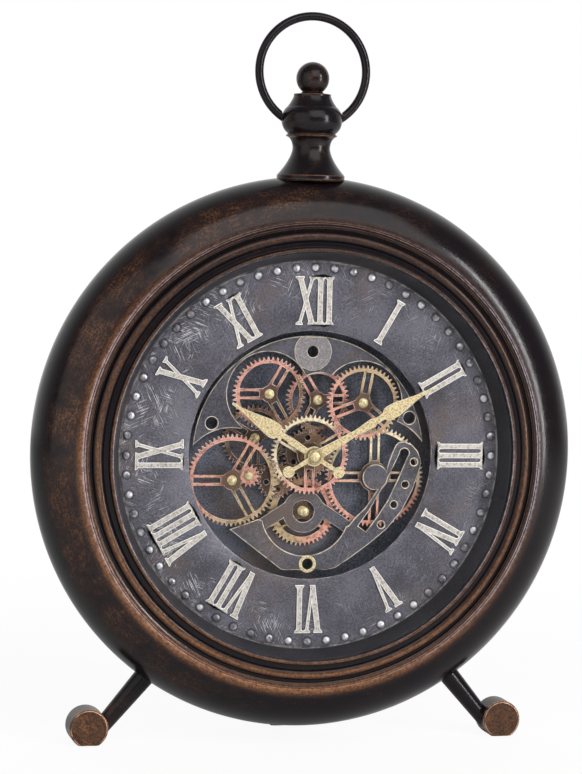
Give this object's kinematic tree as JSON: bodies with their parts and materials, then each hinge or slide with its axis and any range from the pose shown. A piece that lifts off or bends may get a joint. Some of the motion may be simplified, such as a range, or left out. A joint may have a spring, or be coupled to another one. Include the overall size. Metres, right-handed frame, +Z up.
{
  "type": "table gear clock",
  "caption": "Round table clock on three short legs, with a carrying ring on top and an open moving gear train behind the Roman dial.",
  "frame": {"origin": "centre of the footprint box, on the table under the clock", "axes": "+Z up, +X to the right as seen from the front, +Y to the back; the dial faces -Y"},
  "size_m": [0.28, 0.0826, 0.3707],
  "materials": {
    "case_bronze": "black-brown antique bronze lacquer, rubbed back to copper on the edges",
    "dial_iron": "slate grey-blue metallic lacquer, brushed",
    "numeral_silver": "worn antique silver",
    "gear_copper": "antique copper",
    "gear_gold": "pale gold that fades to copper",
    "gear_brass": "antique brass",
    "arbor_brass": "polished brass",
    "hand_gold": "satin pale gold",
    "clear_glass": "clear flat glass",
    "black_plastic": "moulded, fine matt texture",
    "cell_sleeve": "plain printed sleeve without lettering",
    "cover_black": "black powder coat",
    "bright_steel": "zinc plated"
  },
  "bodies": {
    "clock": {"case_shell": "case_bronze", "bezel_ring": "case_bronze", "finial_base": "case_bronze", "finial_onion": "case_bronze", "legs": "case_bronze", "feet": "case_bronze", "dial_plate": "dial_iron", "flared_ring": "dial_iron", "minute_studs": "dial_iron", "well_ring": "dial_iron", "base_plate": "dial_iron", "upper_bridge": "dial_iron", "lower_bridge": "dial_iron", "pin_bridge": "dial_iron", "boss_disc": "dial_iron", "bridge_posts": "dial_iron", "numerals": "numeral_silver", "arbor_bushes": "arbor_brass", "centre_bush": "arbor_brass", "bottom_bush": "arbor_brass", "glass_lens": "clear_glass", "movement_housing": "black_plastic", "battery_cells": "cell_sleeve", "back_cover": "cover_black", "cover_posts": "bright_steel", "cover_screws": "bright_steel", "finial_stud": "bright_steel"},
    "centre_train": {"gear_centre": "gear_gold", "gear_centre_lower": "dial_iron", "centre_hub": "arbor_brass"},
    "upper_left_wheel": {"gear_upper_left": "gear_copper", "arbor_upper_left": "arbor_brass"},
    "lower_left_wheel": {"gear_lower_left": "gear_copper", "arbor_lower_left": "arbor_brass"},
    "upper_right_wheel": {"gear_upper_right": "gear_brass", "arbor_upper_right": "arbor_brass"},
    "top_wheel": {"gear_top": "gear_copper", "arbor_top": "arbor_brass"},
    "right_wheel": {"gear_right": "gear_gold", "arbor_right": "arbor_brass"},
    "bottom_wheel": {"gear_bottom": "gear_copper", "arbor_bottom": "arbor_brass"},
    "left_wheel": {"gear_left": "gear_brass", "arbor_left": "arbor_brass"},
    "middle_wheel": {"gear_middle": "gear_brass", "arbor_middle": "arbor_brass"},
    "drive": {"drive_pinion": "gear_copper", "drive_shaft": "arbor_brass"},
    "minute": {"minute_arbor": "arbor_brass", "minute_hand": "hand_gold", "hand_nut": "hand_gold"},
    "hour": {"hour_pipe": "arbor_brass", "hour_hand": "hand_gold"},
    "knob": {"setting_knob": "black_plastic"},
    "switch": {"switch_slider": "black_plastic"},
    "bail": {"bail_ring": "case_bronze"}
  },
  "joints": [
    {"name": "centre_spin", "type": "hinge", "parent": "clock", "child": "centre_train", "pos_m": [0, -0.01325, 0.148], "axis": [0, 1, 0], "continuous": true},
    {"name": "upper_left_spin", "type": "hinge", "parent": "clock", "child": "upper_left_wheel", "pos_m": [-0.02167, -0.01325, 0.17861], "axis": [0, 1, 0], "continuous": true},
    {"name": "lower_left_spin", "type": "hinge", "parent": "clock", "child": "lower_left_wheel", "pos_m": [-0.03997, -0.01325, 0.13509], "axis": [0, 1, 0], "continuous": true},
    {"name": "upper_right_spin", "type": "hinge", "parent": "clock", "child": "upper_right_wheel", "pos_m": [0.0272, -0.01325, 0.17436], "axis": [0, 1, 0], "continuous": true},
    {"name": "top_spin", "type": "hinge", "parent": "clock", "child": "top_wheel", "pos_m": [0.00472, -0.01325, 0.17535], "axis": [0, 1, 0], "continuous": true},
    {"name": "right_spin", "type": "hinge", "parent": "clock", "child": "right_wheel", "pos_m": [0.03523, -0.01325, 0.13628], "axis": [0, 1, 0], "continuous": true},
    {"name": "bottom_spin", "type": "hinge", "parent": "clock", "child": "bottom_wheel", "pos_m": [-0.00168, -0.01325, 0.1188], "axis": [0, 1, 0], "continuous": true},
    {"name": "left_spin", "type": "hinge", "parent": "clock", "child": "left_wheel", "pos_m": [-0.02706, -0.01325, 0.15566], "axis": [0, 1, 0], "continuous": true},
    {"name": "middle_spin", "type": "hinge", "parent": "clock", "child": "middle_wheel", "pos_m": [-0.01613, -0.01325, 0.13456], "axis": [0, 1, 0], "continuous": true},
    {"name": "drive_spin", "type": "hinge", "parent": "clock", "child": "drive", "pos_m": [-0.03021, -0.01325, 0.13679], "axis": [0, 1, 0], "continuous": true},
    {"name": "minute_spin", "type": "hinge", "parent": "clock", "child": "minute", "pos_m": [0, -0.01325, 0.148], "axis": [0, 1, 0], "continuous": true},
    {"name": "hour_spin", "type": "hinge", "parent": "clock", "child": "hour", "pos_m": [0, -0.01325, 0.148], "axis": [0, 1, 0], "continuous": true},
    {"name": "knob_spin", "type": "hinge", "parent": "clock", "child": "knob", "pos_m": [0, -0.01325, 0.162], "axis": [0, 1, 0], "continuous": true},
    {"name": "switch_slide", "type": "slide", "parent": "clock", "child": "switch", "axis": [1, 0, 0], "range_m": [0, 0.004]},
    {"name": "bail_swing", "type": "hinge", "parent": "clock", "child": "bail", "pos_m": [0, -0.01325, 0.31808], "axis": [1, 0, 0], "range_deg": [-120, 120]}
  ],
  "couplings": [
    {"joint": "upper_left_spin", "follows": "centre_spin", "ratio": -1.0833},
    {"joint": "lower_left_spin", "follows": "centre_spin", "ratio": -0.86667},
    {"joint": "upper_right_spin", "follows": "centre_spin", "ratio": -1.0612},
    {"joint": "top_spin", "follows": "centre_spin", "ratio": -0.7619},
    {"joint": "right_spin", "follows": "centre_spin", "ratio": -0.47761},
    {"joint": "bottom_spin", "follows": "centre_spin", "ratio": -0.69565},
    {"joint": "left_spin", "follows": "centre_spin", "ratio": -0.74419},
    {"joint": "middle_spin", "follows": "centre_spin", "ratio": -1.3333},
    {"joint": "drive_spin", "follows": "centre_spin", "ratio": 2.2857},
    {"joint": "hour_spin", "follows": "minute_spin", "ratio": 0.083333},
    {"joint": "knob_spin", "follows": "minute_spin", "ratio": -1}
  ]
}
